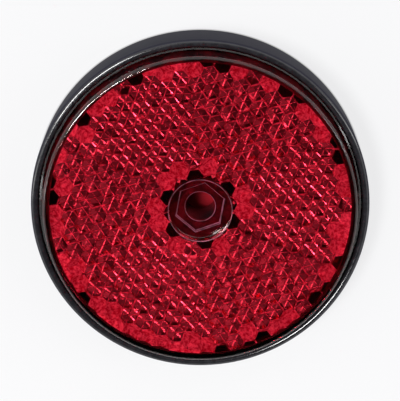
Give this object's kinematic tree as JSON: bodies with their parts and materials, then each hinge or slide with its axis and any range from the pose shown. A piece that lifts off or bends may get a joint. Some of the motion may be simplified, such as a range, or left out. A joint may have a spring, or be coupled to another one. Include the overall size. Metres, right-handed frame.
{
  "type": "round screw-on reflector",
  "caption": "Round screw-on reflector: clear red prismatic lens set in a black plastic cup, with a recessed hexagonal pocket and a screw hole through the centre.",
  "frame": {"origin": "on the screw axis, in the plane of the mounting edge that the reflector is screwed down on", "axes": "+Z along the screw axis, out of the lens face; the reflector lies on its mounting edge; the hexagonal pocket's turn fixes +X and +Y"},
  "size_m": [0.062, 0.062, 0.0139],
  "materials": {
    "housing_black": "satin",
    "lens_red": "polished, clear red"
  },
  "bodies": {
    "root": {"housing": "housing_black", "lens": "lens_red"}
  },
  "joints": []
}
